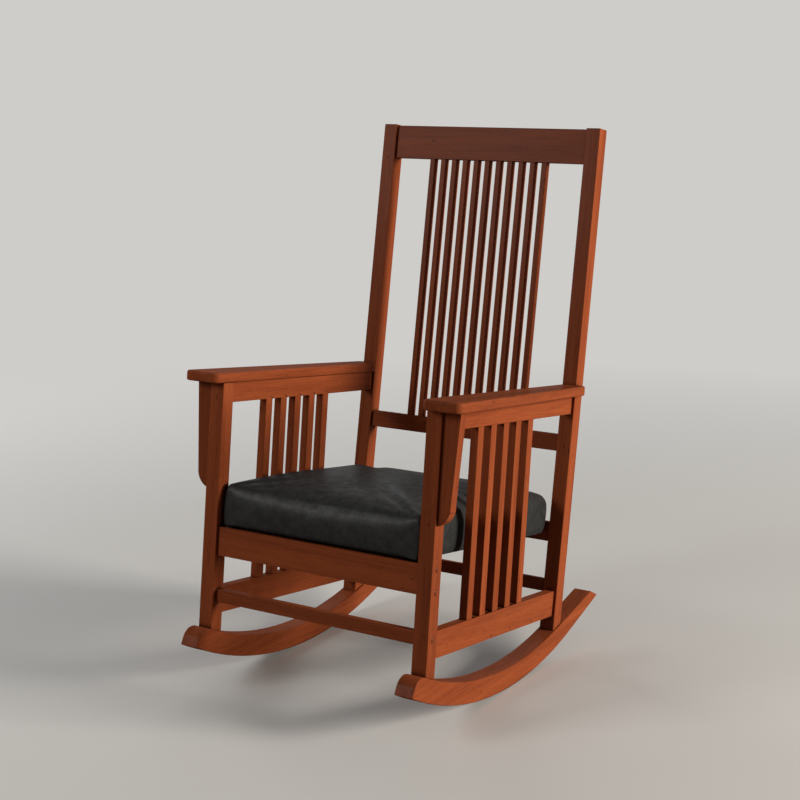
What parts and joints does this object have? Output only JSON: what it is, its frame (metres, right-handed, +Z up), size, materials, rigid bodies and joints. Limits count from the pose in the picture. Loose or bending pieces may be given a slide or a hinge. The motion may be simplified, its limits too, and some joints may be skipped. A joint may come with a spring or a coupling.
{
  "type": "rocking chair",
  "caption": "Wooden rocking chair with slatted back and sides, flat arms on corbels and a black upholstered seat, standing on curved rockers.",
  "frame": {"origin": "on the floor, in the chair's middle plane, under the line where the rockers touch the floor at rest", "axes": "+Z up, the chair faces -Y, +X to the sitter's left"},
  "size_m": [0.6264, 0.7668, 1.0881],
  "materials": {
    "frame_wood": "satin reddish-brown stain",
    "plywood": "bare plywood",
    "dowel": "bare hardwood",
    "cover": "black, fine grain, satin",
    "foam": "open-cell foam",
    "dust_cloth": "black non-woven cloth",
    "steel": "zinc-plated",
    "insert": "plain brass",
    "cap": "dark bronze paint"
  },
  "bodies": {
    "root": {"arm_dowels": "dowel", "arm_left": "frame_wood", "arm_rail_left": "frame_wood", "arm_rail_right": "frame_wood", "arm_right": "frame_wood", "arm_screws": "steel", "back_slat_1": "frame_wood", "back_slat_10": "frame_wood", "back_slat_11": "frame_wood", "back_slat_2": "frame_wood", "back_slat_3": "frame_wood", "back_slat_4": "frame_wood", "back_slat_5": "frame_wood", "back_slat_6": "frame_wood", "back_slat_7": "frame_wood", "back_slat_8": "frame_wood", "back_slat_9": "frame_wood", "barrel_nuts": "steel", "bolt_caps": "cap", "cleat_screws": "steel", "connector_bolts": "steel", "corbel_dowels": "dowel", "corbel_left": "frame_wood", "corbel_right": "frame_wood", "crest_rail": "frame_wood", "dust_cover": "dust_cloth", "front_cleat": "frame_wood", "front_post_left": "frame_wood", "front_post_right": "frame_wood", "front_seat_rail": "frame_wood", "front_stretcher": "frame_wood", "lower_back_rail": "frame_wood", "rear_cleat": "frame_wood", "rear_post_left": "frame_wood", "rear_post_right": "frame_wood", "rear_seat_rail": "frame_wood", "rear_stretcher": "frame_wood", "rocker_bolts": "steel", "rocker_inserts": "insert", "rocker_left": "frame_wood", "rocker_right": "frame_wood", "seat_board": "plywood", "seat_cover": "cover", "seat_foam": "foam", "seat_screws": "steel", "side_rail_left": "frame_wood", "side_rail_right": "frame_wood", "side_slat_left_1": "frame_wood", "side_slat_left_2": "frame_wood", "side_slat_left_3": "frame_wood", "side_slat_left_4": "frame_wood", "side_slat_left_5": "frame_wood", "side_slat_right_1": "frame_wood", "side_slat_right_2": "frame_wood", "side_slat_right_3": "frame_wood", "side_slat_right_4": "frame_wood", "side_slat_right_5": "frame_wood"}
  },
  "joints": []
}
